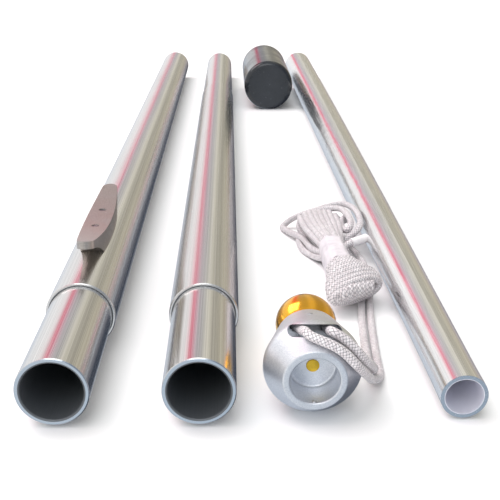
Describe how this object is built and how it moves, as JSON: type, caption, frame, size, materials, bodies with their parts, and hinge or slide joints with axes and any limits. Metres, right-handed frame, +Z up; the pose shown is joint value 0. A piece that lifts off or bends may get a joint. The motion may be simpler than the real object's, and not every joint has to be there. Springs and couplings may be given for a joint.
{
  "type": "sectional flagpole",
  "caption": "Sectional aluminium flagpole laid out as a set: tapered and straight tubes with spigots, cleat, head with sheave and ball, hanked halyard and ground sleeve.",
  "frame": {"origin": "on the floor at the middle of the laid-out set", "axes": "+X to the right, +Y along the pole sections away from their spigots, +Z up"},
  "size_m": [0.4509, 1.98, 0.1218],
  "materials": {
    "tube_aluminium": "brushed along the tube",
    "cast_aluminium": "satin",
    "steel": "plain",
    "nylon": "satin",
    "brass": "turned",
    "gold_anodised": "polished gold",
    "black_gloss": "gloss",
    "rope": "braided"
  },
  "bodies": {
    "set": {"lower_tube": "tube_aluminium", "lower_spigot": "tube_aluminium", "cleat": "cast_aluminium", "cleat_screw_upper": "steel", "cleat_screw_lower": "steel", "middle_tube": "tube_aluminium", "middle_spigot": "tube_aluminium", "top_tube": "tube_aluminium", "truck_body": "cast_aluminium", "sheave_axle": "steel", "truck_set_screw": "steel", "ball_neck": "cast_aluminium", "ball_spindle": "brass", "finial_ball": "gold_anodised", "ground_sleeve": "black_gloss", "halyard_bight": "rope", "halyard_fall_left": "rope", "halyard_fall_right": "rope", "halyard_hank": "rope", "halyard_tail": "rope"},
    "sheave": {"truck_sheave": "nylon"}
  },
  "joints": [
    {"name": "sheave_spin", "type": "hinge", "parent": "set", "child": "sheave", "pos_m": [0.0523, -0.93102, 0.07629], "axis": [0, 0.4405, 0.8977], "continuous": true}
  ]
}
